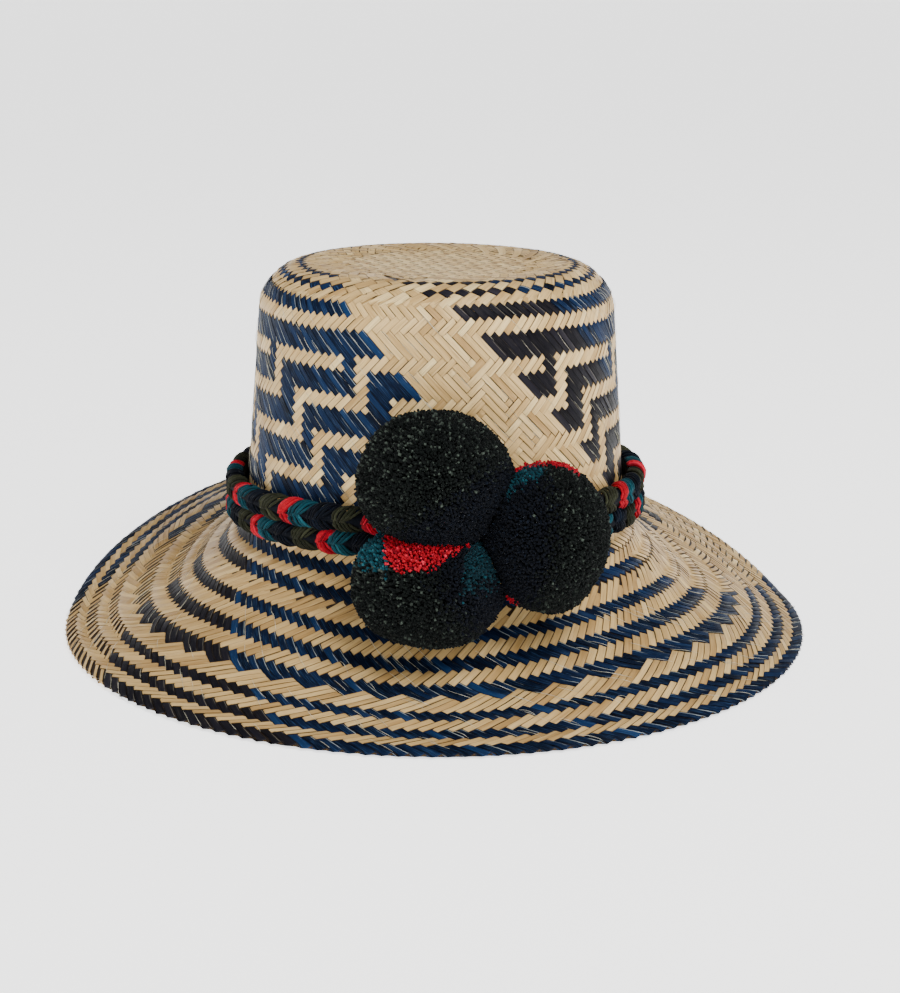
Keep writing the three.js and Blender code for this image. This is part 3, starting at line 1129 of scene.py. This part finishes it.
def pompom_dye(name, spot, way):
    """A yarn end's dye and a shift of its tone by its place: there are patches where the wound yarn changed
    colour, and tones painted darker for the shade where the pompoms meet.
    """
    x, _, z = spot
    fray = rng.normal(0, PATCH_FRAY)
    facing = np.dot(way, FACING)
    if name == "pompom_lower" and way[1] < 0.1:
        left, right = LOWER_RED_SIDES
        if left + fray < x < right and z > np.interp(x, *zip(*LOWER_RED_EDGE)) + fray:
            return RED, 0
        if x <= LOWER_TEAL_LEFT[0] and z > LOWER_TEAL_LEFT[1] + 2 * fray:
            return TEAL, 0
        # painted shade: the teal next to the right pompom is much darker
        if x > LOWER_TEAL_RIGHT[0] + 2 * fray and z > LOWER_TEAL_RIGHT[1] + 3 * fray:
            return TEAL, -0.45
    if name == "pompom_right":
        # the red patch lies behind the upper edge and comes forward on its right
        edge = 0.22 + 0.22 * max(0, way[0]) + 0.05 * fray
        if way[2] > 0.5 and -0.6 < way[0] < 0.52 and facing < edge:
            return RED, 0
        if way[2] > 0.55 and -0.62 < way[0] < -0.05 + 0.05 * fray and facing < 0.6 + 0.05 * fray:
            return TEAL, -0.2
        if math.dist((x, z), RIGHT_RED_TUFT) < RIGHT_RED_TUFT_RADIUS + fray:
            return RED, -0.1
    # the side towards the other pompoms is navy, and painted darker for the shade between the pompoms
    if np.dot(way, POMPOM_SHADED_SIDES[name]) > 0.35 + 0.12 * fray:
        return NAVY, -0.3
    return GREEN_BLACK, 0


def inside_others(spot, name):
    """True where a place lies in the crown, the brim or another pompom."""
    x, y, z = spot
    radius = math.hypot(x, y)
    if radius < crown_radius(z) + POMPOM_CLEARANCE and z < SHOULDER_FOOT_HEIGHT:
        return True
    brim_z = brim_line(math.atan2(x, -y), np.interp(radius, SECTION[:, 0], SECTION_ARC))[1]
    if radius > COLLAR_RADIUS and z < brim_z + POMPOM_CLEARANCE:
        return True
    for other, (centre, half) in POMPOMS.items():
        share = sum(((a - b) / c) ** 2 for a, b, c in zip(spot, centre, half))
        if other != name and share < POMPOM_OVERLAP:
            return True
    return False


def yarn_ends(name):
    """The yarn ends of one pompom, as (place, direction, dye, shade), spread evenly over its lumpy form."""
    centre, half = (np.array(v, float) for v in POMPOMS[name])
    mean = half.mean()
    count = int(4 * math.pi * mean ** 2 / YARN_END_AREA)
    golden = math.pi * (3 - math.sqrt(5))
    ends = []
    for i in range(count):
        z = 1 - (2 * i + 1) / count
        flat = math.sqrt(1 - z * z)
        way = np.array([flat * math.cos(golden * i), flat * math.sin(golden * i), z])
        way += rng.normal(0, 0.012, 3)
        way /= np.linalg.norm(way)
        lump = 0.018 * math.sin(5 * way[0] + 3 * way[2] + half[0]) + 0.014 * math.sin(9 * way[1] - 4 * way[0])
        for towards, size in POMPOM_SHOULDERS.get(name, []):
            lump += size * math.exp(-(1 - np.dot(way, towards)) / SHOULDER_REACH)
        reach = YARN_END_REACH + lump + 0.014 * rng.standard_normal()
        spot = centre + half * way * reach
        if inside_others(spot, name):
            continue
        lean = way * mean + rng.normal(0, YARN_END_LEAN, 3)
        ends.append((spot, lean / np.linalg.norm(lean), *pompom_dye(name, spot, way)))
    return ends


def yarn_ends_object(name, ends):
    """Every yarn end as a four-sided peg with a blunt point, all joined in one mesh."""
    spots, ways, dyes, dims = (np.array(column) for column in zip(*ends))
    count, sides = len(ends), YARN_END_SIDES
    side = np.cross(ways, [0.3, 0.2, 0.93])
    side /= np.linalg.norm(side, axis=1, keepdims=True)
    up = np.cross(ways, side)
    turn = rng.uniform(0, TURN, (count, 1)) + TURN * np.arange(sides) / sides
    ring = np.cos(turn)[..., None] * side[:, None] + np.sin(turn)[..., None] * up[:, None]
    radius = (YARN_END_RADIUS * (1 + 0.15 * rng.standard_normal(count)))[:, None, None]
    root = (spots - ways * YARN_END_LENGTH)[:, None] + ring * radius * 0.8
    neck = (spots - ways * YARN_END_POINT)[:, None] + ring * radius
    points = np.concatenate([root, neck, spots[:, None]], axis=1).reshape(-1, 3)
    pattern = []
    for k in range(sides):
        after = (k + 1) % sides
        pattern += [
            [k, after, sides + after],
            [k, sides + after, sides + k],
            [sides + k, sides + after, 2 * sides],
        ]
    pattern = np.array(pattern + [[2, 1, 0], [3, 2, 0]])
    faces = (np.arange(count)[:, None, None] * (2 * sides + 1) + pattern).reshape(-1, 3)
    made = mesh_object(name, points, faces.tolist(), WOOLS, np.repeat(dyes, len(pattern)))
    shade = np.clip(rng.normal(0.4, 0.16, count), 0, 0.9)
    # a few ends at random get the lightest tone, the ramp's tip; as painted light, more of them above and on
    # the left
    lit_tip_share = 0.03 + 0.13 * np.clip(0.6 * ways[:, 2] - 0.5 * ways[:, 0], 0, 1)
    shade[rng.random(count) < lit_tip_share] = 0.95
    set_attribute(made, "yarn_shade", np.repeat(shade + dims, 2 * sides + 1))
    return made


def add_pompom(name):
    centre, half = POMPOMS[name]
    pompom = yarn_ends_object(name + "_yarn", yarn_ends(name))
    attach(pompom, "root")
    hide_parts(name)
    bpy.ops.object.select_all(action="DESELECT")
    bpy.ops.mesh.primitive_ico_sphere_add(subdivisions=4, radius=MM, location=(0, 0, 0))
    heart = bpy.context.object
    heart.name = name + "_heart"
    form = Matrix.Diagonal((*[reach * HEART_SHARE for reach in half], 1))
    heart.data.transform(Matrix.Translation(Vector(centre) * MM) @ form)
    heart.data.materials.append(WOOLS[GREEN_BLACK])
    bpy.ops.object.shade_smooth()
    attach(heart, "root")


for pompom_name in POMPOMS:
    add_pompom(pompom_name)


# Floor and light
FLOOR_SIZE = 240
WALL_RADIUS = 90
WALL_HEIGHT = 16
PAPER_GLOW = 1.8
WORLD_STRENGTH = 0.4
WORLD_SEEN_STRENGTH = 2.0
LIGHT_AIM = Vector((0, 0, 0.08))
# lights as (name, place, size, power)
LIGHTS = [("key_softbox", (0.62, -1.02, 1.62), 0.9, 41), ("fill_softbox", (-1.3, -0.8, 1.5), 1.2, 3)]


def add_studio():
    bpy.ops.mesh.primitive_plane_add(size=FLOOR_SIZE, location=(0, 0, 0))
    floor = bpy.context.object
    floor.name = "studio_floor"
    # a low round wall far off, which the floor runs up to
    bpy.ops.mesh.primitive_cylinder_add(
        vertices=128, radius=WALL_RADIUS, depth=WALL_HEIGHT, location=(0, 0, WALL_HEIGHT / 2 - 1),
        end_fill_type="NOTHING")
    wall = bpy.context.object
    wall.name = "studio_wall"
    bpy.ops.object.transform_apply()
    material, _, shader = new_material("white_studio_paper")
    shader.inputs["Base Color"].default_value = colour("#f4f3f1")
    shader.inputs["Roughness"].default_value = 0.9
    shader.inputs["Emission Color"].default_value = colour("#ffffff")
    shader.inputs["Emission Strength"].default_value = PAPER_GLOW
    for surface in (floor, wall):
        surface.data.materials.append(material)
    world = bpy.data.worlds.new("soft_room")
    bpy.context.scene.world = world
    world.use_nodes = True
    tree = world.node_tree
    background = tree.nodes["Background"]
    background.inputs["Color"].default_value = colour("#f7f8fb")
    # where the camera sees past the floor, the world is as pale as the floor
    seen = add_node(tree, "ShaderNodeLightPath").outputs["Is Camera Ray"]
    strength = calculate(tree, "MULTIPLY_ADD", seen, WORLD_SEEN_STRENGTH, WORLD_STRENGTH)
    tree.links.new(strength, background.inputs["Strength"])
    for name, place, size, power in LIGHTS:
        light = bpy.data.lights.new(name, "AREA")
        light.size = size
        light.energy = power
        lamp = bpy.data.objects.new(name, light)
        lamp.location = place
        lamp.rotation_euler = (LIGHT_AIM - Vector(place)).to_track_quat("-Z", "Y").to_euler()
        bpy.context.scene.collection.objects.link(lamp)


add_studio()
